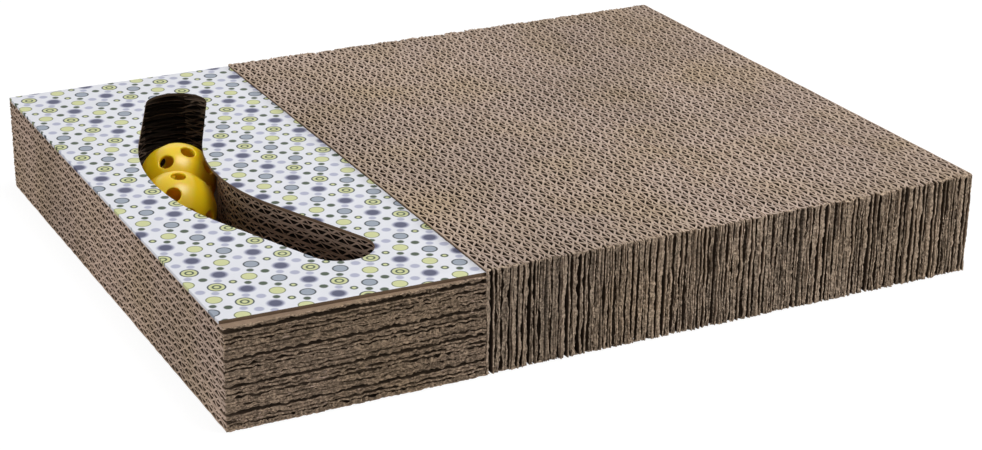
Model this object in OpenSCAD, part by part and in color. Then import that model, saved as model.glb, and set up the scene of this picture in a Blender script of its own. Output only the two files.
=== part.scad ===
// Cardboard cat scratcher: a pad of corrugated board strips stood on edge, beside a stack of boards laid
// flat that holds a curved ball track under a printed cover. Lengths are in millimetres.
// The origin is at the middle of the underside. +X runs from the ball track to the far end of the pad,
// +Y runs to the back and +Z is up.

/* [Board] */
// Thickness of each liner, the flat paper of a board
liner_t = 0.35; // [0.25:0.05:0.6]
// Gap between liners that the large flutes fill
large_flute_h = 3.0; // [2.5:0.1:4]
// Gap between liners that the small flutes fill
small_flute_h = 2.15; // [1.5:0.05:2.6]
// Length of one wave of the large flutes
large_flute_pitch = 8.2; // [7:0.1:9.5]
// Length of board that one sloping wall of a flute takes, measured along the liner
flute_wall_w = 0.55; // [0.4:0.05:0.8]

/* [Scratching pad] */
// Number of strips on edge
strip_count = 42; // [30:1:45]
// Depth of the pad and of the boards, front to back
board_depth = 305; // [240:5:360]
// Board kept uncut by flutes at the front and back end of each strip
strip_end_w = 1.2; // [0.8:0.1:3]
// How far the strips stand above the printed cover
pad_proud_h = 1.3; // [0.5:0.1:3]

/* [Track block] */
// Width of the boards that lie flat
block_w = 119.6; // [110:0.2:140]
// Number of double-wall boards that the channel goes through
channel_board_count = 6; // [6:1:8]
// Thickness of the printed cover
cover_t = 1.6; // [1:0.1:2.5]
// Distance from the front of the boards to the front edge of the cover, at its outer end
cover_outer_inset = 5; // [0:0.1:6]
// The same distance at its inner end, beside the pad
cover_inner_inset = 1.6; // [0:0.1:6]
// Distance from the back of the boards to the back edge of the cover
cover_back_inset = 0.6; // [0:0.1:3]

/* [Track] */
// Radius of the bend in the middle of the track, at its centre line
bend_r = 130; // [110:1:160]
// Angle that each straight arm leans away from the front-to-back line
arm_lean = 22.6; // [15:0.2:28]
// Board left between the front end of the track and the front of the block
track_front_margin = 31.4; // [25:0.2:40]
// Board left between the back end of the track and the back of the block
track_back_margin = 22.8; // [18:0.2:35]
// Distance from the outer side of the block to the centre line at the middle of the bend
track_inset = 42.2; // [40:0.2:48]
// Width of the slot in the printed cover
slot_w = 30.8; // [20:0.2:34]

/* [Balls] */
// Outside diameter of each ball
ball_d = 38; // [34:0.5:39]
// Wall of the hollow balls
ball_wall = 1.5; // [1:0.1:2.5]
// Diameter of the round holes in the balls
hole_d = 7.2; // [5:0.1:8]
// Space between a ball and the channel on each side
ball_play = 3; // [2:0.5:4]
// Gap between the balls at rest, and under each of them
ball_gap = 0.3; // [0.2:0.1:0.6]
// Distance along the back arm from the bend to the back ball
back_ball_along = 7.4; // [4:0.2:25]
// How far the back ball rests from the centre line of the track, towards the pad
back_ball_shift = 2.2; // [0:0.1:2.6]

/* [Hidden] */

// A double-wall board has three liners round two layers of flutes, a single-wall board has two round one
double_wall_t = 3 * liner_t + large_flute_h + small_flute_h;
single_wall_t = 2 * liner_t + large_flute_h;
// Levels of the track block, from the underside up
floor_z = double_wall_t;
top_board_z = floor_z + channel_board_count * double_wall_t;
cover_z = top_board_z + single_wall_t;
pad_h = cover_z + cover_t + pad_proud_h;
// Plan of the whole object
pad_w = strip_count * double_wall_t;
left_x = -(block_w + pad_w) / 2;
pad_x = left_x + block_w;
front_y = -board_depth / 2;
// The track, which bulges towards the outer side
channel_w = ball_d + 2 * ball_play;
track_half_length = (board_depth - track_front_margin - track_back_margin) / 2;
bend_centre = [left_x + track_inset + bend_r, front_y + track_front_margin + track_half_length];
// Length of each straight arm, from the bend to the middle of its round end
arm_length = (track_half_length - channel_w / 2 - bend_r * sin(arm_lean)) / cos(arm_lean);
arc_step = 6;
overrun = 1;
// The balls, set side by side, with the front one on the centre line
ball_z = floor_z + ball_gap + ball_d / 2;
back_ball_at = bend_end(1) + back_ball_along * arm_direction(1) + back_ball_shift * arm_inner_side(1);
ball_pitch = ball_d + ball_gap;
back_ball_reach = norm(back_ball_at - bend_centre);
back_ball_angle = atan2(back_ball_at.y - bend_centre.y, bend_centre.x - back_ball_at.x);
between_angle = acos((back_ball_reach ^ 2 + bend_r ^ 2 - ball_pitch ^ 2) / (2 * back_ball_reach * bend_r));
front_ball_at = on_bend(back_ball_angle - between_angle, bend_r);
// Three rings of holes, as angles from the pole of the ball, and how far each ring is turned, as a share of
// the step between its holes
hole_rings = [42, 90, 138];
ring_turn_shares = [0, 0.5, 0.5];
holes_per_ring = 6;
// Tilt of the shell's own seam, which then runs clear of every hole
seam_tilt = 68;
// How each ball has rolled
back_ball_turn = [-61.2, 11.9, -171.6];
front_ball_turn = [-43.6, 24.8, -123.6];
// Each strip starts its flutes a little further along than the last, as strips cut from long sheets do
phase_share = 0.618;

function strip_name(i) = str("scratch_strip_", i < 10 ? "0" : "", i);
function channel_board_name(i) = str("channel_board_", i);
function fraction(v) = v - floor(v);

// A point on a circle round the bend's centre, by its angle behind the middle of the track
function on_bend(angle, r) = bend_centre + r * [-cos(angle), sin(angle)];
// side is 1 for the back arm and -1 for the front arm
function arm_direction(side) = [sin(arm_lean), side * cos(arm_lean)];
function arm_inner_side(side) = [cos(arm_lean), -side * sin(arm_lean)];
function bend_end(side) = on_bend(side * arm_lean, bend_r);
function arm_end(side) = bend_end(side) + arm_length * arm_direction(side);

// The outline of the track, for a given width: round the outer side of the bend, the back end, the inner
// side and the front end
function arc(centre, r, from, to) =
    let (steps = ceil(abs(to - from) / arc_step))
    [for (k = [0 : steps]) let (a = from + (to - from) * k / steps) centre + r * [cos(a), sin(a)]];
function track_outline(w) = concat(
    arc(bend_centre, bend_r + w / 2, 180 + arm_lean, 180 - arm_lean),
    arc(arm_end(1), w / 2, 180 - arm_lean, -arm_lean),
    arc(bend_centre, bend_r - w / 2, 180 - arm_lean, 180 + arm_lean),
    arc(arm_end(-1), w / 2, arm_lean, arm_lean - 180)
);

// The triangular openings between the waves of the large flutes and their liners
module large_flute_cells(phase) {
    half = large_flute_pitch / 2;
    near_x = liner_t;
    far_x = liner_t + large_flute_h;
    first_y = strip_end_w + phase * half;
    cell_count = floor((board_depth - strip_end_w - first_y) / half) - 1;
    for (k = [0 : cell_count - 1]) {
        y = first_y + k * half;
        base_x = k % 2 == 0 ? near_x : far_x;
        tip_x = k % 2 == 0 ? far_x : near_x;
        polygon([
            [base_x, y + flute_wall_w],
            [base_x, y + large_flute_pitch - flute_wall_w],
            [tip_x, y + half]
        ]);
    }
}

// One strip of double-wall board on edge. Its small flutes, on the far side, are kept solid.
module scratch_strip(i) {
    color("tan")
        translate([pad_x + (i - 1) * double_wall_t, front_y, 0])
            linear_extrude(pad_h)
                difference() {
                    square([double_wall_t, board_depth]);
                    large_flute_cells(fraction(i * phase_share));
                }
}

module flat_board(z, t) {
    translate([left_x, front_y, z])
        cube([block_w, board_depth, t]);
}

module track_cut(w, z, t) {
    translate([0, 0, z - overrun])
        linear_extrude(t + 2 * overrun)
            polygon(track_outline(w));
}

module floor_board() {
    color("burlywood")
        flat_board(0, double_wall_t);
}

module channel_board(i) {
    z = floor_z + (i - 1) * double_wall_t;
    color("burlywood")
        difference() {
            flat_board(z, double_wall_t);
            track_cut(channel_w, z, double_wall_t);
        }
}

module top_board() {
    color("burlywood")
        difference() {
            flat_board(top_board_z, single_wall_t);
            track_cut(channel_w, top_board_z, single_wall_t);
        }
}

// The cover's front edge runs a little askew of the boards below it
module printed_cover() {
    back_y = front_y + board_depth - cover_back_inset;
    color("lavender")
        difference() {
            translate([0, 0, cover_z])
                linear_extrude(cover_t)
                    polygon([
                        [left_x, front_y + cover_outer_inset],
                        [pad_x, front_y + cover_inner_inset],
                        [pad_x, back_y],
                        [left_x, back_y]
                    ]);
            track_cut(slot_w, cover_z, cover_t);
        }
}

// A hollow ball with rings of round holes
module ball() {
    hole_length = ball_wall + 2 * overrun;
    hole_start = ball_d / 2 - ball_wall - overrun;
    hole_step = 360 / holes_per_ring;
    difference() {
        rotate([0, seam_tilt, 0])
            sphere(d = ball_d);
        rotate([0, seam_tilt, 0])
            sphere(d = ball_d - 2 * ball_wall);
        for (ring = [0 : len(hole_rings) - 1], k = [1 : holes_per_ring])
            rotate([0, hole_rings[ring], (k + ring_turn_shares[ring]) * hole_step])
                translate([0, 0, hole_start])
                    cylinder(d = hole_d, h = hole_length);
    }
}

module back_ball() {
    color("gold")
        translate([back_ball_at.x, back_ball_at.y, ball_z])
            rotate(back_ball_turn)
                ball();
}

module front_ball() {
    color("gold")
        translate([front_ball_at.x, front_ball_at.y, ball_z])
            rotate(front_ball_turn)
                ball();
}

floor_board();
for (i = [1 : channel_board_count])
    channel_board(i);
top_board();
printed_cover();
back_ball();
front_ball();
for (i = [1 : strip_count])
    scratch_strip(i);
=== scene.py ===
import math

import bpy
import numpy as np
from mathutils import Euler, Matrix, Vector


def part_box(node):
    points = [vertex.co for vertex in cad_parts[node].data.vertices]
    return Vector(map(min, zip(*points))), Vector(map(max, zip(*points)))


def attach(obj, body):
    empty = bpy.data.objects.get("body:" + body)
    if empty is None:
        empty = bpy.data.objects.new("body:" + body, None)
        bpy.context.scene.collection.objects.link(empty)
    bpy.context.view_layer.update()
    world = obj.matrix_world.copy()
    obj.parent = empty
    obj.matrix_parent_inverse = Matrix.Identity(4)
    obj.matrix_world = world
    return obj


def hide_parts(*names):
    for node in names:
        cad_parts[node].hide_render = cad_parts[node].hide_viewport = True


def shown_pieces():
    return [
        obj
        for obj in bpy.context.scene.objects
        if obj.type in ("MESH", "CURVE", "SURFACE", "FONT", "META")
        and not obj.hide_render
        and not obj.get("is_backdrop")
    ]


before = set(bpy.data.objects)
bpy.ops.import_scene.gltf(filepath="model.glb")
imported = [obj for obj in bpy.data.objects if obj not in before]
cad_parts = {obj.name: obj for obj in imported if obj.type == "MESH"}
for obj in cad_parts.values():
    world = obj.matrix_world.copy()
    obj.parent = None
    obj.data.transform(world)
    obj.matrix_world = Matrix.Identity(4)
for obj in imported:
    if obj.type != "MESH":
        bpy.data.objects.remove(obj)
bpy.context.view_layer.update()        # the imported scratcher: 42 strips, eight flat boards, a cover and two balls
scene = bpy.context.scene
mm = 0.001        # all lengths are in metres
smoothAngle = math.radians(40)

# The parts of the object that everything else is measured from
padLow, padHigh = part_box("scratch_strip_01")[0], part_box("scratch_strip_42")[1]
blockLow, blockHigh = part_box("floor_board")
coverLow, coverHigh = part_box("printed_cover")
boardDepth = blockHigh.y - blockLow.y
print("frame loaded, pad", padLow, padHigh)


# Small helpers

def deselectAll():
    bpy.ops.object.select_all(action="DESELECT")


def activate(piece):
    deselectAll()
    piece.select_set(True)
    bpy.context.view_layer.objects.active = piece


def setMode(mode):
    bpy.ops.object.mode_set(mode=mode)


def readPoints(piece):
    points = np.empty(len(piece.data.vertices) * 3)
    piece.data.vertices.foreach_get("co", points)
    return points.reshape(-1, 3)


def writePoints(piece, points):
    piece.data.vertices.foreach_set("co", np.ascontiguousarray(points, dtype=np.float32).ravel())
    piece.data.update()


def readFaces(piece, key):
    values = np.empty(len(piece.data.polygons) * 3)
    piece.data.polygons.foreach_get(key, values)
    return values.reshape(-1, 3)


# Selects the wanted edges or faces alone, for the operators of edit mode
def selectOnly(piece, kind, wanted):
    mesh = piece.data
    for name, items in (("VERT", mesh.vertices), ("EDGE", mesh.edges), ("FACE", mesh.polygons)):
        items.foreach_set("select", wanted if name == kind else np.zeros(len(items), bool))
    bpy.context.tool_settings.mesh_select_mode = (kind == "VERT", kind == "EDGE", kind == "FACE")


def applyModifiers(piece):
    activate(piece)
    for modifier in list(piece.modifiers):
        bpy.ops.object.modifier_apply(modifier=modifier.name)


def copyPiece(piece, name):
    twin = piece.copy()
    twin.data = piece.data.copy()
    twin.name = twin.data.name = name
    scene.collection.objects.link(twin)
    return twin


def joinPieces(pieces):
    activate(pieces[0])
    for piece in pieces:
        piece.select_set(True)
    bpy.ops.object.join()
    return pieces[0]


def keepInside(piece, low, high):
    points = readPoints(piece)
    writePoints(piece, np.clip(points, np.array(low), np.array(high)))


def finishPiece(piece, node, body):
    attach(piece, body)
    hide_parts(node)


# 1 where the distance is none, falling to 0 at the given reach
def nearShare(distance, reach):
    return np.clip(1 - distance / reach, 0, 1)


noiseTable = (61, 59)


# Smooth noise from -1 to 1
def drift(a, b, seed):
    rows, columns = noiseTable
    table = np.random.RandomState(seed).uniform(-1, 1, noiseTable)
    a, b = np.broadcast_arrays(np.asarray(a, float), np.asarray(b, float))
    i, j = np.floor(a).astype(int), np.floor(b).astype(int)
    fa, fb = a - i, b - j
    fa, fb = fa * fa * (3 - 2 * fa), fb * fb * (3 - 2 * fb)
    near = table[i % rows, j % columns] * (1 - fa) + table[(i + 1) % rows, j % columns] * fa
    far = table[i % rows, (j + 1) % columns] * (1 - fa) + table[(i + 1) % rows, (j + 1) % columns] * fa
    return near * (1 - fb) + far * fb


# A recipe gives the noise's size, its reach to each side and what it adds to the seed
def waver(recipe, along, line, seed):
    size, reach, offset = recipe
    return reach * drift(along / size, line, seed + offset)


# The same noise, turned to one side
def dent(recipe, along, line, seed):
    return np.abs(waver(recipe, along, line, seed))


# How the corrugated board is made. Levels run from one outer liner to the other.
board = {
    "paper": 0.6 * mm,
    "liner": 0.35 * mm,
    "largeFlute": 3.0 * mm,
    "smallFlute": 2.15 * mm,
    "largePitch": 8.2 * mm,
    "smallPitch": 6.2 * mm,
    "tipShare": 0.9,        # nearer to 1, the tips of the waves get sharper
    "linerStep": 8.0 * mm,
    "waveSteps": 6,
    "endSteps": (0, 0.4 * mm, 1.0 * mm, 2.0 * mm, 3.4 * mm),
    "endReach": 3.4 * mm,
    "thinnest": 0.3 * mm,
    "thickest": 1.5 * mm,
    "thicknessLevels": 20,
    "glueLap": 0.25 * mm,
    "tornDepth": 2.6 * mm,
    "tornFacing": 0.35,
    # Painted shade inside the flutes: full colour at shadeFrom, down to deepShade of it at shadeTo; frontShade caps
    # the depth behind a cut end
    "shadeFrom": 0.25 * mm,
    "shadeTo": 0.95 * mm,
    "deepShade": 0.08,
    "frontShade": 0.78 * mm,
    "openReach": 8 * mm,
    "wobbleHeight": 30 * mm,
}
halfPaper = board["paper"] / 2
firstLiner = halfPaper
secondLiner = board["liner"] * 1.5 + board["largeFlute"]
thirdLiner = board["liner"] * 3 + board["largeFlute"] + board["smallFlute"] - halfPaper
waveStep = board["paper"] - board["glueLap"]        # from a liner to the crest that is glued to it
rimSlot, tornSlot = 1, 2        # the paper's cut edges and its torn ends, after the plain paper


def columnPlaces(step):
    ends = np.array(board["endSteps"])
    count = round((boardDepth - 2 * ends[-1]) / step) + 1
    middle = np.linspace(ends[-1], boardDepth - ends[-1], count)
    return np.concatenate([ends[:-1], middle, (boardDepth - ends[:-1])[::-1]])


def linerLayer(level, step):
    return {"kind": "liner", "level": level, "places": columnPlaces(step)}


def waveLayer(kind, low, high, pitch):
    return {"kind": kind, "low": low + waveStep, "high": high - waveStep, "pitch": pitch,
            "places": columnPlaces(pitch / board["waveSteps"])}


def doubleWall(linerStep):
    return [
        linerLayer(firstLiner, linerStep),
        waveLayer("largeWave", firstLiner, secondLiner, board["largePitch"]),
        linerLayer(secondLiner, linerStep),
        waveLayer("smallWave", secondLiner, thirdLiner, board["smallPitch"]),
        linerLayer(thirdLiner, linerStep),
    ]


# A flat sheet of paper: X counts its columns along the board, Y its rows across it and Z its layer.
# The end columns get extra cuts in the rows that cutRows names.
def flatSheet(name, layer, columns, rows, endCuts, cutRows=(0, math.inf)):
    deselectAll()
    bpy.ops.mesh.primitive_grid_add(x_subdivisions=columns, y_subdivisions=rows, size=1, location=(0, 0, 0))
    sheet = bpy.context.active_object
    sheet.name = name
    setMode("EDIT")
    bpy.ops.mesh.select_all(action="SELECT")
    bpy.ops.transform.translate(value=(0.5, 0.5, 0))
    bpy.ops.transform.resize(value=(columns, rows, 1), center_override=(0, 0, 0))
    bpy.ops.transform.translate(value=(0, 0, layer))
    setMode("OBJECT")
    ends = len(board["endSteps"]) - 1
    points = readPoints(sheet)
    pairs = np.empty(len(sheet.data.edges) * 2, int)
    sheet.data.edges.foreach_get("vertices", pairs)
    x = np.round(points[pairs.reshape(-1, 2), 0])
    row = points[pairs.reshape(-1, 2), 1].mean(axis=1)
    upright = (x[:, 0] == x[:, 1]) & (row > cutRows[0]) & (row < cutRows[1])
    selectOnly(sheet, "EDGE", upright & ((x[:, 0] <= ends) | (x[:, 0] >= columns - ends)))
    setMode("EDIT")
    bpy.ops.mesh.subdivide(number_cuts=endCuts)
    setMode("OBJECT")
    return sheet


def flatBoard(name, layers, rows, endCuts, cutRows=(0, math.inf)):
    sheets = []
    for k, layer in enumerate(layers):
        sheets.append(flatSheet(f"{name}Sheet", k, len(layer["places"]) - 1, rows, endCuts, cutRows))
    whole = joinPieces(sheets)
    whole.name = whole.data.name = name
    return whole


def fluteLift(layer, along, phase):
    turn = along / layer["pitch"] - phase
    tip = board["tipShare"]
    bend = np.arcsin(tip * np.cos(2 * math.pi * turn)) / math.asin(tip)    # a zigzag with rounded tips
    return layer["low"] + (layer["high"] - layer["low"]) * (0.5 - bend / 2)


# How the ends of the waves are pressed. Each noise is a recipe, and then its line at the back end.
press = {
    "columns": 2,        # columns of points that are pressed flat
    "slope": 0.3 * mm,
    "broad": ((16 * mm, 0.2, 300), 9),
    "fine": ((4 * mm, 1, 310), 9),
    "jag": ((1.1 * mm, 1, 320), 5),
    "torn": ((1.3 * mm, 1, 340), 7),
    "tornBroad": ((9 * mm, 0.5, 360), 3),
}


def pressNoise(name, across, end, seed, line=0):
    recipe, backLine = press[name]
    return waver(recipe, across, line + end * backLine, seed)


# Where a board was cut across its flutes, the waves of its ends are pressed flat against the cut and
# close most of each opening. Gives each point's lift, its distance from the cut and its depth in shade.
# In cut, closed is the share of the opening that closes and open the chance that an end isn't pressed.
def pressEnds(layer, columns, lift, gap, depth, across, topShare, rng, seed, cut):
    count = len(layer["places"]) - 1
    low, high = layer["low"], layer["high"]
    pressed = press["columns"]
    for end in (0, 1):
        share = rng.uniform(*cut["closed"])
        fromLow, stays = rng.uniform(size=2) < (0.5, cut["open"])
        if stays:
            continue
        index = columns if end == 0 else count - columns
        turn = np.clip(index / pressed, 0, 1)
        vary = pressNoise("broad", across, end, seed) + cut["vary"] * pressNoise("fine", across, end, seed)
        width = (high - low) * (share + (1 - share) * topShare + vary)
        width = width + cut["jag"] * pressNoise("jag", across, end, seed) * turn
        width = np.minimum(width, high - low + board["glueLap"])
        start = low - board["glueLap"] if fromLow else high + board["glueLap"]
        flat = start + (1 if fromLow else -1) * np.maximum(width, 0) * turn
        torn = cut["torn"] * np.abs(pressNoise("torn", across, end, seed, index))
        torn = torn + cut["torn"] * np.abs(pressNoise("tornBroad", across, end, seed))
        # Behind the pressed columns the wave keeps to one liner for a few more
        held = np.clip((cut["hold"] + pressed - index) / pressed, 0, 1) * (1 - topShare)
        lift = np.where(index <= pressed, flat, (low if fromLow else high) * held + lift * (1 - held))
        gap = np.where(index <= pressed, cut["depth"] + press["slope"] * turn + torn, gap)
        depth = np.where(index <= pressed, 0, depth)
    return lift, gap, depth


# Wide openings let light in, so their shade stops part of the way. Further in, they give no shade.
def openDepth(gap, limit):
    return np.where(gap < board["openReach"], np.minimum(gap, limit), boardDepth)


# How far each point lies behind the nearest cut side of its board, for the shade painted into the colour inside the
# flutes
def setCutDepth(piece, depth):
    attribute = piece.data.attributes.new("cutDepth", "FLOAT", "POINT")
    attribute.data.foreach_set("value", np.ascontiguousarray(depth, dtype=np.float32))


def setThickness(piece, thickness, paperMaterials):
    group = piece.vertex_groups.new(name="thickness")
    share = (thickness - board["thinnest"]) / (board["thickest"] - board["thinnest"])
    last = board["thicknessLevels"]
    levels = np.round(np.clip(share, 0, 1) * last).astype(int)
    for level in range(1, last + 1):
        found = np.nonzero(levels == level)[0]
        if len(found):
            group.add(found.tolist(), level / last, "REPLACE")
    for material in paperMaterials:
        piece.data.materials.append(material)
    solid = piece.modifiers.new("paper", "SOLIDIFY")
    solid.thickness = board["thickest"]
    solid.offset = 0
    solid.vertex_group = group.name
    solid.thickness_vertex_group = board["thinnest"] / board["thickest"]
    solid.material_offset_rim = rimSlot
    applyModifiers(piece)
    piece.vertex_groups.clear()
    paintEnds(piece)


# The torn faces at the front and back of a board take the third paper
def paintEnds(piece):
    mesh = piece.data
    y, facing = readFaces(piece, "center")[:, 1], np.abs(readFaces(piece, "normal")[:, 1])
    slots = np.empty(len(mesh.polygons), int)
    mesh.polygons.foreach_get("material_index", slots)
    gap = np.minimum(y - blockLow.y, blockHigh.y - y)
    slots[(gap < board["tornDepth"]) & (facing > board["tornFacing"])] = tornSlot
    mesh.polygons.foreach_set("material_index", slots)


# Materials

def newTree(material):
    material.use_nodes = True
    material.node_tree.nodes.clear()
    return material.node_tree


def addNode(tree, kind, inputs=None, **settings):
    node = tree.nodes.new(kind)
    for key, value in settings.items():
        setattr(node, key, value)
    for key, value in (inputs or {}).items():
        if isinstance(value, bpy.types.NodeSocket):
            tree.links.new(value, node.inputs[key])
        else:
            node.inputs[key].default_value = value
    return node


def addNoise(tree, vector, scale, detail, roughness=0.5):
    return addNode(tree, "ShaderNodeTexNoise", {
        "Vector": vector, "Scale": scale, "Detail": detail, "Roughness": roughness}).outputs[0]


def addRange(tree, value, fromMin, fromMax, toMin=0.0, toMax=1.0):
    limits = {"From Min": fromMin, "From Max": fromMax, "To Min": toMin, "To Max": toMax}
    return addNode(tree, "ShaderNodeMapRange", {"Value": value, **limits}).outputs[0]


# The Mix node takes colours on its sockets 6 and 7 and gives one on 2
def mixColour(tree, factor, first, second, blend="MIX"):
    return addNode(tree, "ShaderNodeMix", {0: factor, 6: first, 7: second},
                   data_type="RGBA", blend_type=blend).outputs[2]


def addMath(tree, operation, *values):
    return addNode(tree, "ShaderNodeMath", dict(enumerate(values)), operation=operation).outputs[0]


def addSurface(tree, inputs):
    shader = addNode(tree, "ShaderNodeBsdfPrincipled", inputs)
    addNode(tree, "ShaderNodeOutputMaterial", {0: shader.outputs[0]})


# A colour in sRGB bytes, as the linear values that shaders take
def fromByte(red, green, blue):
    return tuple(((c / 255 + 0.055) / 1.055) ** 2.4 for c in (red, green, blue)) + (1,)


def newGroup(name, inputs, outputs):
    tree = bpy.data.node_groups.new(name, "ShaderNodeTree")
    for direction, sockets in (("INPUT", inputs), ("OUTPUT", outputs)):
        for key, kind in sockets:
            tree.interface.new_socket(key, in_out=direction, socket_type="NodeSocket" + kind)
    return tree, tree.nodes.new("NodeGroupInput"), tree.nodes.new("NodeGroupOutput")


# Recycled paper. A noise gives its scale, detail and roughness, and a range the values it goes from and to.
recycled = {
    "patch": (22, 3, 0.5), "patchRange": (0.42, 0.72),
    "mottle": (260, 4, 0.6), "mottleRange": (0.3, 0.7, 0.86, 1.12), "roughRange": (0, 1, 0.8, 0.98),
    "fibre": (1500, 3, 0.7), "fibreRange": (0.56, 0.72), "fibreStretch": (1, 0.35, 1),
    "cloud": (13, 2, 0.5), "cloudRange": (0.35, 0.65, 0.88, 1.08),
    "grain": (820, 3, 0.65), "grainRange": (0.6, 0.4), "grainTop": 1.08, "grainHeight": 3.0,
    "relief": 0.2 * mm, "shine": 0.15,
}


# Large soft patches, a finer mottle, dark and light fibres, and dark grains
def makePaperGroup():
    tree, source, target = newGroup(
        "recycledPaper",
        [("Vector", "Vector"), ("Paper", "Color"), ("Patch", "Color"), ("Fleck", "Color"),
         ("Patches", "Float"), ("Flecks", "Float"), ("Grain", "Float")],
        [("Color", "Color"), ("Roughness", "Float"), ("Height", "Float")])
    given = source.outputs
    vector = given["Vector"]
    stretch = addNode(tree, "ShaderNodeMapping", {"Vector": vector, "Scale": recycled["fibreStretch"]})
    patch = addNoise(tree, vector, *recycled["patch"])
    mottle = addNoise(tree, vector, *recycled["mottle"])
    fibre = addNoise(tree, stretch.outputs[0], *recycled["fibre"])
    cloud = addNoise(tree, vector, *recycled["cloud"])
    grain = addNoise(tree, vector, *recycled["grain"])
    patches = addMath(tree, "MULTIPLY", addRange(tree, patch, *recycled["patchRange"]), given["Patches"])
    flecks = addMath(tree, "MULTIPLY", addRange(tree, fibre, *recycled["fibreRange"]), given["Flecks"])
    grains = addMath(tree, "MULTIPLY", addRange(tree, grain, *recycled["grainRange"]), given["Grain"])
    colour = mixColour(tree, patches, given["Paper"], given["Patch"])
    colour = mixColour(tree, 1.0, colour, addRange(tree, mottle, *recycled["mottleRange"]), "MULTIPLY")
    colour = mixColour(tree, 1.0, colour, addRange(tree, cloud, *recycled["cloudRange"]), "MULTIPLY")
    colour = mixColour(tree, flecks, colour, given["Fleck"])
    shade = addMath(tree, "SUBTRACT", recycled["grainTop"], grains)
    colour = mixColour(tree, 1.0, colour, shade, "MULTIPLY")
    height = addMath(tree, "SUBTRACT", addMath(tree, "ADD", mottle, fibre),
                     addMath(tree, "MULTIPLY", grains, recycled["grainHeight"]))
    tree.links.new(colour, target.inputs["Color"])
    tree.links.new(addRange(tree, mottle, *recycled["roughRange"]), target.inputs["Roughness"])
    tree.links.new(height, target.inputs["Height"])
    return tree


paperGroup = makePaperGroup()
usualPaper = {"Patches": 0.6, "Flecks": 0.35, "Grain": 0.0, "bump": 0.25}
papers = {
    "padPaper": {"Paper": (146, 124, 106), "Patch": (138, 118, 92), "Fleck": (98, 78, 62)},
    "padCutEdge": {"Paper": (183, 163, 149), "Patch": (175, 154, 130), "Fleck": (135, 112, 96),
                   "Patches": 0.9, "Flecks": 0.6, "Grain": 0.2},
    "padTornEnd": {"Paper": (196, 174, 152), "Patch": (184, 160, 134), "Fleck": (120, 98, 82),
                   "Flecks": 0.7, "Grain": 0.6, "bump": 0.6},
    "trackPaper": {"Paper": (146, 124, 106), "Patch": (136, 116, 90), "Fleck": (98, 78, 62)},
    "trackCutEdge": {"Paper": (192, 168, 152), "Patch": (176, 154, 128), "Fleck": (132, 110, 94),
                     "Patches": 0.7, "Flecks": 0.5, "Grain": 0.15},
    "trackTornEnd": {"Paper": (176, 153, 131), "Patch": (162, 139, 111), "Fleck": (108, 86, 70),
                     "Patches": 0.7, "Flecks": 0.8, "Grain": 0.65, "bump": 0.7},
    "coverCore": {"Paper": (104, 86, 70), "Patch": (96, 78, 62), "Fleck": (70, 56, 44)},
}


def paperMaterial(name):
    material = bpy.data.materials.new(name)
    tree = newTree(material)
    look = {**usualPaper, **papers[name]}
    place = addNode(tree, "ShaderNodeTexCoord").outputs["Object"]
    colours = {key: fromByte(*look[key]) for key in ("Paper", "Patch", "Fleck")}
    shares = {key: look[key] for key in ("Patches", "Flecks", "Grain")}
    group = addNode(tree, "ShaderNodeGroup", {"Vector": place, **colours, **shares}, node_tree=paperGroup)
    relief = addNode(tree, "ShaderNodeBump", {
        "Strength": look["bump"], "Distance": recycled["relief"], "Height": group.outputs["Height"]})
    # Painted shade: the base colour darkens with the cutDepth attribute, from full at shadeFrom to deepShade at
    # shadeTo
    depth = addNode(tree, "ShaderNodeAttribute", attribute_name="cutDepth")
    limits = (board["shadeFrom"], board["shadeTo"], 1.0, board["deepShade"])
    shade = addRange(tree, depth.outputs["Fac"], *limits)
    addSurface(tree, {
        "Base Color": mixColour(tree, 1.0, group.outputs["Color"], shade, "MULTIPLY"),
        "Roughness": group.outputs["Roughness"], "Normal": relief.outputs[0],
        "Specular IOR Level": recycled["shine"]})
    return material


padPaper = [paperMaterial(name) for name in ("padPaper", "padCutEdge", "padTornEnd")]
trackPaper = [paperMaterial(name) for name in ("trackPaper", "trackCutEdge", "trackTornEnd")]
print("paper materials made")


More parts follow.
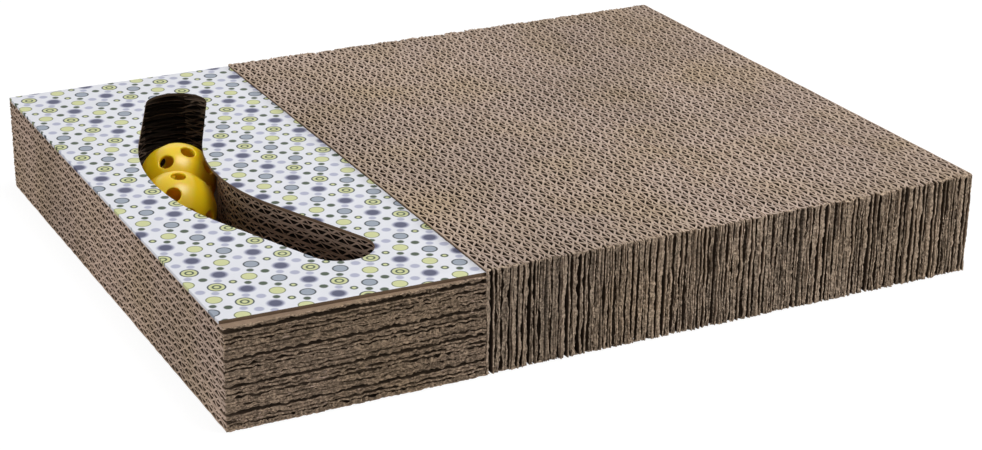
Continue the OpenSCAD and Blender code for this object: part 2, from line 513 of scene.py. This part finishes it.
# The pad: 42 strips of double-wall board on edge. Rows give the paper's thickness at each row height.
padHeight = padHigh.z
strips = {
    "count": 42, "seed": 300, "seedStep": 7, "endCuts": 27, "cutRows": (0, 2),
    "phaseShare": 0.618, "endBoard": 1.2 * mm, "drop": 0.35 * mm, "stagger": 1.2 * mm,
    "topShade": 0.87 * mm, "topReach": 3 * mm, "footReach": 1 * mm, "footClosed": 2.5 * mm,
    "rowHeights": (0, padHeight / 2, padHeight - 1.5 * mm, padHeight - 0.8 * mm, padHeight - 0.3 * mm,
                   padHeight),
    "rows": {"liner": (0.6 * mm, 0.6 * mm, 0.6 * mm, 0.65 * mm, 0.75 * mm, 0.6 * mm),
             "largeWave": (0.6 * mm, 0.6 * mm, 0.6 * mm, 0.75 * mm, 1.05 * mm, 1.05 * mm),
             "smallWave": (0.6 * mm, 0.6 * mm, 0.6 * mm, 0.65 * mm, 0.9 * mm, 0.85 * mm)},
    "cut": {"closed": (0.5, 1.5), "vary": 0.3, "open": 0.08, "jag": 0.8 * mm, "torn": 0.6 * mm,
            "depth": 0.15 * mm, "hold": 3},
    "wobble": (38 * mm, 0.03, 0), "wobbleFine": (9 * mm, 0.02, 500), "wobbleFineHeight": 18 * mm,
    "waveTop": (5 * mm, 0.2 * mm, 900), "linerTop": (12 * mm, 0.1 * mm, 900),
    "bend": (9 * mm, 0.7 * mm, 40), "bendLine": 3.7,
    "frayFine": (1.3 * mm, 0.45 * mm, 80), "frayBroad": (14 * mm, 0.45 * mm, 120),
    "top": (1.6 * mm, 0.22 * mm, 160), "foot": (2 * mm, 0.2 * mm, 200),
    "chip": 1.8 * mm, "chipNoise": (1, 1, 180),
    "warp": 0.5 * mm, "warpNoise": (46 * mm, 1, 77), "warpWidth": 31 * mm, "warpStart": (0.4, 8),
    "warpWindow": 14 * mm,
    "ragged": (1.2 * mm, 0.35 * mm, 240), "thinner": 0.05 * mm,
    "worn": (3.1 * mm, 1, 260),
    "wornReach": {"liner": 0.12 * mm, "largeWave": 0.35 * mm, "smallWave": 0.35 * mm},
}


def shapeStrip(piece, number, layers):
    points = readPoints(piece)
    thickness, depth = np.zeros(len(points)), np.zeros(len(points))
    rng = np.random.RandomState(strips["seed"] + number)
    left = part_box(f"scratch_strip_{number:02d}")[0].x
    drop = strips["drop"] * rng.uniform(0, 1)
    setBack = strips["stagger"] * rng.uniform(0, 1, 2) ** 2
    shift = strips["endBoard"] + (number * strips["phaseShare"]) % 1 * board["largePitch"] / 2
    phases = {"largeWave": shift / board["largePitch"], "smallWave": rng.uniform(0, 1)}
    rowNumbers = np.arange(len(strips["rowHeights"]))
    layerIndex = np.round(points[:, 2]).astype(int)
    for k, layer in enumerate(layers):
        kind = layer["kind"]
        mine = layerIndex == k
        columns, rows = points[mine, 0], points[mine, 1]
        along = np.interp(columns, np.arange(len(layer["places"])), layer["places"])
        up = np.interp(rows, rowNumbers, strips["rowHeights"])
        seed = number * strips["seedStep"] + k
        topShare = nearShare(padHeight - up, strips["topReach"])
        footShare = nearShare(up, strips["footReach"])
        atFront = along < boardDepth / 2
        gap = np.minimum(along, boardDepth - along)
        endShare = nearShare(gap, board["endReach"]) ** 2
        # The depth of painted shade: behind the cut ends, under the top and above the foot of the strip
        fromTop = np.minimum(padHeight - up, strips["topShade"])
        shaded = np.minimum.reduce([openDepth(gap, board["frontShade"]), fromTop, up])
        if number == strips["count"] and k == len(layers) - 1:
            shaded = 0 * gap        # the pad's outer liner is in the open
        if kind == "liner":
            lift = layer["level"] + waver(strips["linerTop"], along, 0, seed) * topShare
        else:
            wobble = (waver(strips["wobble"], along, up / board["wobbleHeight"], seed)
                      + waver(strips["wobbleFine"], along, up / strips["wobbleFineHeight"], seed))
            lift = fluteLift(layer, along + wobble * layer["pitch"], phases[kind])
            closed = np.maximum(topShare, nearShare(up, strips["footClosed"]))
            lift, gap, shaded = pressEnds(layer, columns, lift, gap, shaded, up, closed, rng, seed,
                                          strips["cut"])
            lift = lift + waver(strips["waveTop"], along, 0, seed) * topShare
        depth[mine] = shaded
        lift = lift + waver(strips["bend"], up, k * strips["bendLine"] + number, seed) * endShare
        inward = dent(strips["frayFine"], up, columns, seed) + dent(strips["frayBroad"], up, 0, seed)
        inward = (inward + np.where(atFront, setBack[0], setBack[1])) * endShare
        along = np.where(atFront, gap + inward, boardDepth - gap - inward)
        low = drop + dent(strips["top"], along, 0, seed)
        low = low + strips["chip"] * endShare * waver(strips["chipNoise"], columns, k + 0.5, seed) ** 2
        up = up - low * topShare + dent(strips["foot"], along, 0, seed) * footShare
        x = left + lift
        window = np.clip(np.minimum(x - padLow.x, padHigh.x - x) / strips["warpWindow"], 0, 1)
        alongStart, widthStart = strips["warpStart"]
        x = x + strips["warp"] * window * waver(strips["warpNoise"], along + alongStart,
                                                x / strips["warpWidth"] + widthStart, 0)
        points[mine] = np.stack([x, blockLow.y + along, up], axis=1)
        ragged = waver(strips["ragged"], up, columns, seed) - strips["thinner"]
        worn = strips["wornReach"][kind] * waver(strips["worn"], along, 0, seed)
        rowThickness = np.interp(rows, rowNumbers, strips["rows"][kind])
        thickness[mine] = rowThickness + worn * topShare + ragged * endShare
    writePoints(piece, points)
    setCutDepth(piece, depth)
    setThickness(piece, thickness, padPaper)
    keepInside(piece, padLow, padHigh)


stripLayers = doubleWall(board["linerStep"])
stripRows = len(strips["rowHeights"]) - 1
stripBlank = flatBoard("stripBlank", stripLayers, stripRows, strips["endCuts"], strips["cutRows"])
for number in range(1, strips["count"] + 1):
    strip = copyPiece(stripBlank, f"padStrip{number:02d}")
    shapeStrip(strip, number, stripLayers)
    bpy.ops.object.shade_smooth_by_angle(angle=smoothAngle)
    finishPiece(strip, f"scratch_strip_{number:02d}", "base")
bpy.data.objects.remove(stripBlank)
print("pad made", strips["count"])


# The track: two straight arms that lean from a bend, with round ends
track = {
    "bendRadius": 130 * mm, "lean": math.radians(22.6), "inset": 42.2 * mm, "frontMargin": 31.4 * mm,
    "backMargin": 22.8 * mm, "channel": 44 * mm, "slot": 30.8 * mm, "arcPoints": 60,
    "bandRows": 3,        # rows of faces on each side of the opening
    "dimRun": 30 * mm,
}
bandRows = track["bandRows"]
bandCount = 2 * bandRows + 1
trackHalf = (boardDepth - track["frontMargin"] - track["backMargin"]) / 2
bendCentre = np.array([blockLow.x + track["inset"] + track["bendRadius"],
                       blockLow.y + track["frontMargin"] + trackHalf])
armReach = trackHalf - track["channel"] / 2 - track["bendRadius"] * math.sin(track["lean"])
armLength = armReach / math.cos(track["lean"])


def arcPoints(centre, radius, start, end):
    turn = np.linspace(start, end, track["arcPoints"])
    return centre + radius * np.stack([np.cos(turn), np.sin(turn)], axis=1)


# The two sides of the track from front to back, for a given width
def trackSides(width):
    lean = track["lean"]
    ends = [bendCentre + track["bendRadius"] * np.array([-math.cos(lean), side * math.sin(lean)])
            + armLength * np.array([math.sin(lean), side * math.cos(lean)]) for side in (-1, 1)]
    outer = np.concatenate([
        arcPoints(ends[0], width / 2, -math.pi / 2, lean - math.pi),
        arcPoints(bendCentre, track["bendRadius"] + width / 2, math.pi + lean, math.pi - lean),
        arcPoints(ends[1], width / 2, math.pi - lean, math.pi / 2)])
    inner = np.concatenate([
        arcPoints(ends[0], width / 2, -math.pi / 2, lean),
        arcPoints(bendCentre, track["bendRadius"] - width / 2, math.pi + lean, math.pi - lean),
        arcPoints(ends[1], width / 2, -lean, math.pi / 2)])
    return outer, inner


def trackEnds(sides):
    return sides[0][0, 1], sides[0][-1, 1]


def openingAt(y, sides):
    outer, inner = sides
    left, right = np.interp(y, outer[:, 1], outer[:, 0]), np.interp(y, inner[:, 1], inner[:, 0])
    middle, spread = (left + right) / 2, np.maximum((right - left) / 2, mm)
    return middle - spread, middle + spread


def acrossBoard(rows, y, sides, low, high):
    left, right = openingAt(y, sides)
    outerBand = low + (left - low) * rows / bandRows
    opening = left + (right - left) * (rows - bandRows)
    innerBand = right + (high - right) * (rows - bandRows - 1) / bandRows
    return np.where(rows <= bandRows, outerBand, np.where(rows < bandRows + 1, opening, innerBand))


# Little light gets to the back end of the track: 1 there, and less towards the front
def dimShare(y, back, atBack):
    return np.clip((y - back) / track["dimRun"] + atBack, 0, 1)


# Takes the faces of the open track out of a flat blank. A layer's table has its columns' places from start.
def openTrack(piece, tables, start, sides):
    front, back = trackEnds(sides)
    centres = readFaces(piece, "center")
    wanted = np.zeros(len(centres), bool)
    for k, table in enumerate(tables):
        y = start + np.interp(centres[:, 0], np.arange(len(table)), table)
        wanted |= (np.round(centres[:, 2]) == k) & (y > front) & (y < back)
    wanted &= (centres[:, 1] > bandRows) & (centres[:, 1] < bandRows + 1)
    activate(piece)
    selectOnly(piece, "FACE", wanted)
    setMode("EDIT")
    bpy.ops.mesh.delete(type="FACE")
    setMode("OBJECT")


channelSides = trackSides(track["channel"])

# The boards that lie flat: the floor, six with the channel through them and the one under the cover
flats = {
    "channels": 6, "seed": 900, "noiseSeed": 2000, "seedStep": 11, "endCuts": 23, "rowSlack": 0.01,
    "linerStep": 3.2 * mm,        # close columns, to follow the round ends of the track
    # Painted shade along the walls of the track, and more towards its back end
    "farShade": 0.5 * mm, "farStart": 1.6, "wallShade": 0.66 * mm,
    "cut": {"closed": (0.7, 1.5), "vary": 0.45, "open": 0.04, "jag": 1.2 * mm, "torn": 1.0 * mm,
            "depth": 0.1 * mm, "hold": 3},
    "wall": (1.9 * mm, 0.5 * mm, 31), "side": (1.7 * mm, 0.3 * mm, 60), "wobble": (38 * mm, 0.03, 0),
    # How much the ends are crushed, and the level that they are crushed to
    "crush": 0.12, "crushBroad": (14 * mm, 0.18, 40), "crushFine": (3 * mm, 0.14, 90),
    "crushRest": 0.22, "crushPower": 0.7,
    "jitter": (2.6 * mm, 0.6 * mm, 105), "jitterFine": (1.6 * mm, 0.3 * mm, 105),
    "frayFine": (1.2 * mm, 0.45 * mm, 120), "frayBroad": (13 * mm, 0.45 * mm, 150),
    "edges": {"liner": 0.75 * mm, "largeWave": 0.85 * mm, "smallWave": 0.85 * mm},
    "ragged": (1.1 * mm, 0.45 * mm, 180), "thicker": 0.05 * mm,
    "worn": (1.8 * mm, 0.3 * mm, 210), "wornLine": 3.3,
}


def shapeBoard(piece, number, kind, low, high):
    points = readPoints(piece)
    thickness, depth = np.zeros(len(points)), np.zeros(len(points))
    rng = np.random.RandomState(flats["seed"] + number)
    layerIndex = np.round(points[:, 2]).astype(int)
    front, back = trackEnds(channelSides)
    thick = high.z - low.z
    for k, layer in enumerate(kind["layers"]):
        paper, last = layer["kind"], len(layer["places"]) - 1
        mine = layerIndex == k
        columns, row = points[mine, 0], points[mine, 1]
        along = np.interp(columns, np.arange(last + 1), layer["places"])
        y = blockLow.y + along
        seed = flats["noiseSeed"] + number * flats["seedStep"] + k
        phase = rng.uniform(0, 1)
        sideEdge = row < flats["rowSlack"]
        if kind["hasTrack"]:
            x = acrossBoard(row, y, channelSides, low.x, high.x)
            fromMiddle = row - bandRows - 0.5
            wall = np.abs(np.abs(fromMiddle) - 0.5) < flats["rowSlack"]        # points along the opening
            x = x + wall * np.sign(fromMiddle) * dent(flats["wall"], y, 0, seed)
            left, right = openingAt(y, channelSides)
            wallGap = np.where((y > front) & (y < back), np.maximum(left - x, x - right), boardDepth)
        else:
            x = low.x + (high.x - low.x) * row / bandCount
            wall = np.zeros(len(row), bool)
            wallGap = np.full(len(row), boardDepth)
        # Painted shade: the depth in shade behind the cut ends, the left side and the walls of the track, deepened
        # towards the track's back end
        farEnd = flats["farShade"] * dimShare(y, back, flats["farStart"])
        wallDepth = openDepth(wallGap, flats["wallShade"]) + farEnd * (wallGap < boardDepth)
        frontDepth = openDepth(along, board["frontShade"])
        backDepth = openDepth(boardDepth - along, board["frontShade"])
        shaded = np.maximum(0, np.minimum.reduce([frontDepth, backDepth, x - low.x, wallDepth]))
        if k in kind["openLayers"]:
            shaded = 0 * y
        x = x + sideEdge * dent(flats["side"], y, 0, seed)
        gap = np.minimum(along, boardDepth - along)
        endShare = nearShare(gap, board["endReach"]) ** 2
        if paper == "liner":
            lift = np.full(len(along), layer["level"])
        else:
            wobble = waver(flats["wobble"], along, x / board["wobbleHeight"], seed)
            lift = fluteLift(layer, along + wobble * layer["pitch"], phase)
            lift, gap, shaded = pressEnds(layer, columns, lift, gap, shaded, x, 0, rng, seed, flats["cut"])
        depth[mine] = shaded
        crush = flats["crush"] + waver(flats["crushBroad"], x, 0, number)
        crush = np.maximum(crush + waver(flats["crushFine"], x, k, seed), 0) * endShare
        crush = crush * np.clip(lift / thick, 0, 1) ** flats["crushPower"]
        lift = lift + (flats["crushRest"] * thick - lift) * crush
        fromEnd = np.minimum(columns, last - columns)
        lift = lift + endShare * waver(flats["jitter"], x, fromEnd, number)
        lift = lift + endShare * waver(flats["jitterFine"], x, fromEnd, seed)
        inward = dent(flats["frayFine"], x, columns, seed) + dent(flats["frayBroad"], x, 0, seed)
        inward = inward * endShare
        y = np.where(along < boardDepth / 2, blockLow.y + gap + inward, blockHigh.y - gap - inward)
        points[mine] = np.stack([x, y, low.z + lift], axis=1)
        worn = waver(flats["worn"], y, k * flats["wornLine"], seed)
        edge = (flats["edges"][paper] - board["paper"] + worn) * (sideEdge | wall)
        ragged = waver(flats["ragged"], x, columns, seed) + flats["thicker"]
        thickness[mine] = board["paper"] + edge + ragged * endShare
    writePoints(piece, points)
    setCutDepth(piece, depth)
    setThickness(piece, thickness, trackPaper)
    keepInside(piece, low, high)


# Each kind of flat board: its layers, whether the track runs through it, and its liners in the open.
# The top board is a single wall, of two liners and the large waves.
boardLayers = doubleWall(flats["linerStep"])
kinds = {
    "channel": {"layers": boardLayers, "hasTrack": True, "openLayers": ()},
    "top": {"layers": boardLayers[:3], "hasTrack": True, "openLayers": (2,)},
    "floor": {"layers": boardLayers, "hasTrack": False, "openLayers": (0, 4)},
}
for name, kind in kinds.items():
    kind["blank"] = flatBoard(name + "Blank", kind["layers"], bandCount, flats["endCuts"])
    if kind["hasTrack"]:
        openTrack(kind["blank"], [layer["places"] for layer in kind["layers"]], blockLow.y, channelSides)

stack = [("floor_board", "floorSheets", kinds["floor"]), ("top_board", "topSheets", kinds["top"])]
for n in range(1, flats["channels"] + 1):
    stack.append((f"channel_board_{n}", f"channelSheets{n}", kinds["channel"]))
for number, (node, name, kind) in enumerate(stack):
    sheets = copyPiece(kind["blank"], name)
    low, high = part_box(node)
    shapeBoard(sheets, number, kind, low, high)
    bpy.ops.object.shade_smooth_by_angle(angle=smoothAngle)
    finishPiece(sheets, node, "base")
for kind in kinds.values():
    bpy.data.objects.remove(kind["blank"])
print("track boards made", len(stack))


# The printed cover: white sheet with spots over grey board
cover = {
    "edgeRound": 0.15 * mm, "roundSteps": 2, "roundAngle": math.radians(60),
    "sideBand": 1.0 * mm, "sideFacing": -0.5, "frontSteps": 6, "slotSteps": 90, "endCuts": 1,
    # Painted shade on the grey board at the back end of the slot
    "farShade": 0.75 * mm, "farStart": 1.4, "slack": 0.1 * mm, "shine": 0.3,
    "mottle": (90, 4), "shadeRange": (0.3, 0.7, 0.97, 1.02), "roughRange": (0, 1, 0.42, 0.62),
}
slotSides = trackSides(track["slot"])

# The print: staggered rows of large spots in four kinds, with smaller spots of five kinds between them.
# A kind lists its discs from the outside in, each with its radius, colour and softness, in millimetres.
slate, lilac, steel = fromByte(78, 80, 104), fromByte(168, 170, 190), fromByte(146, 154, 166)
lime, olive, moss = fromByte(198, 201, 150), fromByte(112, 119, 88), fromByte(66, 78, 62)
ink, white = fromByte(58, 66, 70), fromByte(219, 220, 226)
printed = {
    "spacing": 17 * mm, "rows": 9.6 * mm, "turn": math.radians(-16), "ground": white,
    "kindStep": 2.0, "match": 0.2,
    "sets": [
        {"shift": 0.25, "lift": 0.5, "kinds": [
            [(1.7, lilac, 0.4)],
            [(1.6, moss, 0.3)],
        ]},
        {"shift": 0.5, "lift": 0.0, "kinds": [
            [(1.9, moss, 0.3)],
            [(2.1, lilac, 0.4)],
            [(1.8, moss, 0.2), (0.9, lime, 0.15)],
        ]},
        {"shift": 0.0, "lift": 0.0, "kinds": [
            [(3.9, lilac, 0.6), (3.1, slate, 0.7)],
            [(3.6, ink, 0.15), (2.9, steel, 0.15)],
            [(4.1, ink, 0.15), (3.4, lime, 0.15), (2.1, moss, 0.2), (1.2, lime, 0.2)],
            [(3.6, olive, 0.15), (3.1, lime, 0.15)],
        ]},
    ],
}


# Distance from the middle of the nearest spot, and the kind of that spot
def makeSpotGroup():
    tree, source, target = newGroup(
        "staggeredSpots",
        [("Vector", "Vector"), ("Spacing", "Float"), ("Rows", "Float"), ("Shift", "Float"),
         ("Lift", "Float"), ("Kinds", "Float")],
        [("Distance", "Float"), ("Kind", "Float")])
    given = source.outputs
    place = addNode(tree, "ShaderNodeSeparateXYZ", {0: given["Vector"]})
    rowPlace = addMath(tree, "DIVIDE", place.outputs[1], given["Rows"])
    rowPlace = addMath(tree, "ADD", rowPlace, given["Lift"])
    row = addMath(tree, "FLOOR", rowPlace)
    stagger = addMath(tree, "MULTIPLY", addMath(tree, "FLOORED_MODULO", row, 2.0), 0.5)
    columnPlace = addMath(tree, "DIVIDE", place.outputs[0], given["Spacing"])
    columnPlace = addMath(tree, "ADD", addMath(tree, "ADD", columnPlace, stagger), given["Shift"])
    column = addMath(tree, "FLOOR", columnPlace)
    squares = []
    for at, cell, size in ((columnPlace, column, "Spacing"), (rowPlace, row, "Rows")):
        fromMiddle = addMath(tree, "SUBTRACT", addMath(tree, "SUBTRACT", at, cell), 0.5)
        length = addMath(tree, "MULTIPLY", fromMiddle, given[size])
        squares.append(addMath(tree, "MULTIPLY", length, length))
    kind = addMath(tree, "ADD", column, addMath(tree, "MULTIPLY", row, printed["kindStep"]))
    tree.links.new(addMath(tree, "SQRT", addMath(tree, "ADD", *squares)), target.inputs["Distance"])
    tree.links.new(addMath(tree, "FLOORED_MODULO", kind, given["Kinds"]), target.inputs["Kind"])
    return tree


def drawSpots(tree, colour, group, vector, spotSet):
    spots = addNode(tree, "ShaderNodeGroup", {
        "Vector": vector, "Spacing": printed["spacing"], "Rows": printed["rows"], "Shift": spotSet["shift"],
        "Lift": spotSet["lift"], "Kinds": len(spotSet["kinds"])}, node_tree=group)
    for number, discs in enumerate(spotSet["kinds"]):
        chosen = addMath(tree, "COMPARE", spots.outputs["Kind"], float(number), printed["match"])
        for radius, tint, softness in discs:
            limits = ((radius - softness) * mm, (radius + softness) * mm, 1.0, 0.0)
            inside = addRange(tree, spots.outputs["Distance"], *limits)
            colour = mixColour(tree, addMath(tree, "MULTIPLY", inside, chosen), colour, tint)
    return colour


def printMaterial():
    material = bpy.data.materials.new("spottedPrint")
    tree = newTree(material)
    place = addNode(tree, "ShaderNodeTexCoord").outputs["Object"]
    turned = addNode(tree, "ShaderNodeMapping", {"Vector": place, "Rotation": (0, 0, printed["turn"])})
    group = makeSpotGroup()
    mottle = addNoise(tree, place, *cover["mottle"])
    colour = printed["ground"]
    for spotSet in printed["sets"]:
        colour = drawSpots(tree, colour, group, turned.outputs[0], spotSet)
    addSurface(tree, {
        "Base Color": mixColour(tree, 1.0, colour, addRange(tree, mottle, *cover["shadeRange"]), "MULTIPLY"),
        "Roughness": addRange(tree, mottle, *cover["roughRange"]), "Specular IOR Level": cover["shine"]})
    return material


def makeCover():
    front, back = trackEnds(slotSides)
    left, right = coverLow.x, coverHigh.x
    corners = [v.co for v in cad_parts["printed_cover"].data.vertices]
    outerFront = min(p.y for p in corners if abs(p.x - left) < mm)
    innerFront = min(p.y for p in corners if abs(p.x - right) < mm)
    share = np.linspace(0, 1, cover["slotSteps"])
    slotPlaces = front + (back - front) * (1 - np.cos(math.pi * share)) / 2
    places = np.concatenate([np.linspace(coverLow.y, front, cover["frontSteps"])[:-1], slotPlaces,
                             np.linspace(back, coverHigh.y, cover["frontSteps"])[1:]])
    sheet = flatSheet("coverSheet", 0, len(places) - 1, bandCount, cover["endCuts"])
    points = readPoints(sheet)
    y = np.interp(points[:, 0], np.arange(len(places)), places)
    x = acrossBoard(points[:, 1], y, slotSides, left, right)
    edge = outerFront + (innerFront - outerFront) * (x - left) / (right - left)
    before = np.clip((front - y) / (front - coverLow.y), 0, 1)
    openTrack(sheet, [places], 0, slotSides)
    writePoints(sheet, np.stack([x, y + (edge - coverLow.y) * before, np.full(len(x), coverHigh.z)], axis=1))
    # Painted shade on the cover's grey board, darker towards the back end of the slot
    dim = cover["farShade"] * dimShare(y, back, cover["farStart"])
    setCutDepth(sheet, np.where(y < back + cover["slack"], dim, 0))
    activate(sheet)
    setMode("EDIT")
    bpy.ops.mesh.select_all(action="SELECT")
    bpy.ops.mesh.flip_normals()        # the grid was laid with its columns along Y
    setMode("OBJECT")
    for material in (printMaterial(), paperMaterial("coverCore")):
        sheet.data.materials.append(material)
    solid = sheet.modifiers.new("board", "SOLIDIFY")
    solid.thickness = coverHigh.z - coverLow.z
    solid.offset = -1
    solid.material_offset = 1
    solid.material_offset_rim = 1
    bevel = sheet.modifiers.new("edge", "BEVEL")
    bevel.width = cover["edgeRound"]
    bevel.segments = cover["roundSteps"]
    bevel.limit_method = "ANGLE"
    bevel.angle_limit = cover["roundAngle"]
    applyModifiers(sheet)
    for face in sheet.data.polygons:
        if face.normal.x < cover["sideFacing"] and face.center.x < left + cover["sideBand"]:
            face.material_index = 0        # the print wraps the outer side
    bpy.ops.object.shade_smooth_by_angle(angle=smoothAngle)
    keepInside(sheet, coverLow, coverHigh)
    finishPiece(sheet, "printed_cover", "base")


makeCover()
print("cover made")


# The balls: a hollow shell with three rings of six holes
ball = {
    "radius": 19 * mm, "wall": 1.5 * mm, "segments": 96, "shellRings": 64,
    "holeRadius": 3.6 * mm, "holeSides": 40, "perRing": 6,
    "holeRings": ((42, 0), (90, 0.5), (138, 0.5)),        # angle from the pole, and turn in steps
    "turns": {"back_ball": (-61.2, 11.9, -171.6), "front_ball": (-43.6, 24.8, -123.6)},
    # The hole's cutter starts this far under the surface, then widens in steps of a rise in millimetres
    "rimDepth": 1.05 * mm, "overrun": 0.4 * mm, "slack": 0.01 * mm, "innerSlack": 0.2 * mm,
    "flare": ((0.25, 1.02), (0.2, 1.035), (0.13, 1.06), (0.07, 1.08), (0.7, 1.07)),
    "smoothAngle": math.radians(50), "cloud": (120, 3), "roughRange": (0, 1, 0.24, 0.38),
    "outside": {"bright": (255, 213, 22), "dull": (255, 204, 12), "glow": {
        "Subsurface Weight": 0.4, "Subsurface Radius": (1.0, 0.42, 0.06), "Subsurface Scale": 3 * mm}},
    # Partly painted light: the inside is a paler copy of the plastic, so that the hollow looks lit through its wall
    "inside": {"bright": (252, 200, 80), "dull": (248, 188, 68), "glow": {
        "Subsurface Weight": 1.0, "Subsurface Radius": (1.0, 0.85, 0.35), "Subsurface Scale": 5 * mm}},
}


def ballMaterial(name, look):
    material = bpy.data.materials.new(name)
    tree = newTree(material)
    place = addNode(tree, "ShaderNodeTexCoord").outputs["Object"]
    cloud = addNoise(tree, place, *ball["cloud"])
    colour = mixColour(tree, cloud, fromByte(*look["bright"]), fromByte(*look["dull"]))
    rough = addRange(tree, cloud, *ball["roughRange"])
    addSurface(tree, {"Base Color": colour, "Roughness": rough, **look["glow"]})
    return material


def makeHoleCutter():
    depth = ball["wall"] + ball["overrun"]
    top = ball["radius"] - ball["rimDepth"]
    deselectAll()
    bpy.ops.mesh.primitive_cylinder_add(vertices=ball["holeSides"], radius=ball["holeRadius"], depth=depth,
                                        location=(0, 0, top - depth / 2))
    cutter = bpy.context.active_object
    bpy.ops.object.transform_apply(location=True, rotation=True, scale=True)
    for rise, spread in ball["flare"]:
        selectOnly(cutter, "FACE", readFaces(cutter, "center")[:, 2] > top - ball["slack"])
        setMode("EDIT")
        bpy.ops.mesh.extrude_region_move(TRANSFORM_OT_translate={"value": (0, 0, rise * mm)})
        bpy.ops.transform.resize(value=(spread, spread, 1), center_override=(0, 0, 0))
        setMode("OBJECT")
        top += rise * mm
    return cutter


def makeBallShell():
    radius = ball["radius"]
    deselectAll()
    bpy.ops.mesh.primitive_uv_sphere_add(segments=ball["segments"], ring_count=ball["shellRings"],
                                         radius=radius)
    shell = bpy.context.active_object
    shell.name = "ballShell"
    wall = shell.modifiers.new("wall", "SOLIDIFY")
    wall.thickness = ball["wall"]
    wall.offset = -1
    applyModifiers(shell)
    first = makeHoleCutter()
    cutters = []
    for pole, share in ball["holeRings"]:
        for k in range(ball["perRing"]):
            turn = (k + share) * 360 / ball["perRing"]
            twin = copyPiece(first, "holeCutter")
            twin.data.transform(Euler((0, math.radians(pole), math.radians(turn))).to_matrix().to_4x4())
            cutters.append(twin)
    bpy.data.objects.remove(first)
    joined = joinPieces(cutters)
    holes = shell.modifiers.new("holes", "BOOLEAN")
    holes.operation = "DIFFERENCE"
    holes.solver = "EXACT"
    holes.object = joined
    applyModifiers(shell)
    bpy.data.objects.remove(joined)
    shell.data.materials.append(ballMaterial("yellowPlastic", ball["outside"]))
    # The inside faces take the paler copy of the plastic, painted lighter
    shell.data.materials.append(ballMaterial("yellowPlasticInside", ball["inside"]))
    for face in shell.data.polygons:
        if face.center.length < radius - ball["wall"] + ball["innerSlack"]:
            face.material_index = 1
    return shell


ballShell = makeBallShell()
for node, turn in ball["turns"].items():
    low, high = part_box(node)
    twin = copyPiece(ballShell, "hollowBall" + node.split("_")[0].capitalize())
    rotation = Euler([math.radians(a) for a in turn]).to_matrix().to_4x4()
    twin.data.transform(Matrix.Translation((low + high) / 2) @ rotation)
    activate(twin)
    bpy.ops.object.shade_smooth_by_angle(angle=ball["smoothAngle"])
    finishPiece(twin, node, node)
bpy.data.objects.remove(ballShell)
print("balls made")


# Floor, light and camera. The floor and the world are brighter for the camera than for the object.
stage = {
    "size": 12, "drop": 0.2 * mm, "grey": (0.16, 0.16, 0.16, 1), "glow": 0.9, "white": (1, 1, 1, 1),
    "worldLight": 0.2, "worldSeen": 0.74,
}
lamps = {
    "overheadSoftbox": {"place": (0.12, -0.1, 1.25), "size": 0.6, "energy": 10.0, "glossy": True},
    "leftFill": {"place": (-1.35, -0.4, 0.26), "size": 0.6, "energy": 9.0, "glossy": False},
    "rightFill": {"place": (1.6, -1.3, 0.33), "size": 0.8, "energy": 35.0, "glossy": False},
    "rearFill": {"place": (-0.5, 1.6, 0.4), "size": 0.8, "energy": 11.0, "glossy": False},
}
shot = {"azimuth": math.radians(-27.73), "elevation": math.radians(22.671), "roll": math.radians(0.871),
        "place": (-0.4685, -0.9122, 0.4293), "lens": 80.98, "sensor": 36}


def makeFloor():
    deselectAll()
    bpy.ops.mesh.primitive_plane_add(size=stage["size"], location=(0, 0, -stage["drop"]))
    floor = bpy.context.active_object
    floor.name = "paleFloor"
    material = bpy.data.materials.new("paleFloor")
    tree = newTree(material)
    rays = addNode(tree, "ShaderNodeLightPath")
    strength = addMath(tree, "MULTIPLY", rays.outputs["Is Camera Ray"], stage["glow"])
    matte = addNode(tree, "ShaderNodeBsdfDiffuse", {"Color": stage["grey"]})
    glow = addNode(tree, "ShaderNodeEmission", {"Color": stage["white"], "Strength": strength})
    both = addNode(tree, "ShaderNodeAddShader", {0: matte.outputs[0], 1: glow.outputs[0]})
    addNode(tree, "ShaderNodeOutputMaterial", {0: both.outputs[0]})
    floor.data.materials.append(material)
    floor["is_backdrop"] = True


def makeWorld():
    world = bpy.data.worlds.new("studio")
    scene.world = world
    tree = newTree(world)
    rays = addNode(tree, "ShaderNodeLightPath")
    seen = addMath(tree, "MAXIMUM", rays.outputs["Is Camera Ray"], rays.outputs["Is Transmission Ray"])
    seen = addMath(tree, "MAXIMUM", seen, rays.outputs["Is Glossy Ray"])
    strength = addMath(tree, "ADD", addMath(tree, "MULTIPLY", seen, stage["worldSeen"]), stage["worldLight"])
    back = addNode(tree, "ShaderNodeBackground", {"Color": stage["white"], "Strength": strength})
    addNode(tree, "ShaderNodeOutputWorld", {0: back.outputs[0]})


def addLamp(name, look):
    data = bpy.data.lights.new(name, "AREA")
    data.shape = "SQUARE"
    data.size = look["size"]
    data.energy = look["energy"]
    lamp = bpy.data.objects.new(name, data)
    scene.collection.objects.link(lamp)
    lamp.location = look["place"]
    lamp.rotation_euler = (-Vector(look["place"])).to_track_quat("-Z", "Y").to_euler()
    lamp.visible_glossy = look["glossy"]
    lamp.visible_camera = False


def addCamera():
    az, el, roll = shot["azimuth"], shot["elevation"], shot["roll"]
    back = Vector((math.sin(az) * math.cos(el), -math.cos(az) * math.cos(el), math.sin(el)))
    right = (-back).cross(Vector((0, 0, 1))).normalized()
    up = right.cross(-back)
    level = Matrix((right, up, back)).transposed()
    data = bpy.data.cameras.new("shot")
    data.lens = shot["lens"]
    data.sensor_width = shot["sensor"]
    camera = bpy.data.objects.new("shot", data)
    scene.collection.objects.link(camera)
    turned = level @ Matrix.Rotation(roll, 3, "Z")
    camera.matrix_world = Matrix.Translation(shot["place"]) @ turned.to_4x4()
    scene.camera = camera


makeFloor()
makeWorld()
for name, look in lamps.items():
    addLamp(name, look)
addCamera()
scene.view_settings.view_transform = "Standard"
print("stage made")

triangles = sum(len(p.data.polygons) * 2 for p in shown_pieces())
print("triangles", triangles)
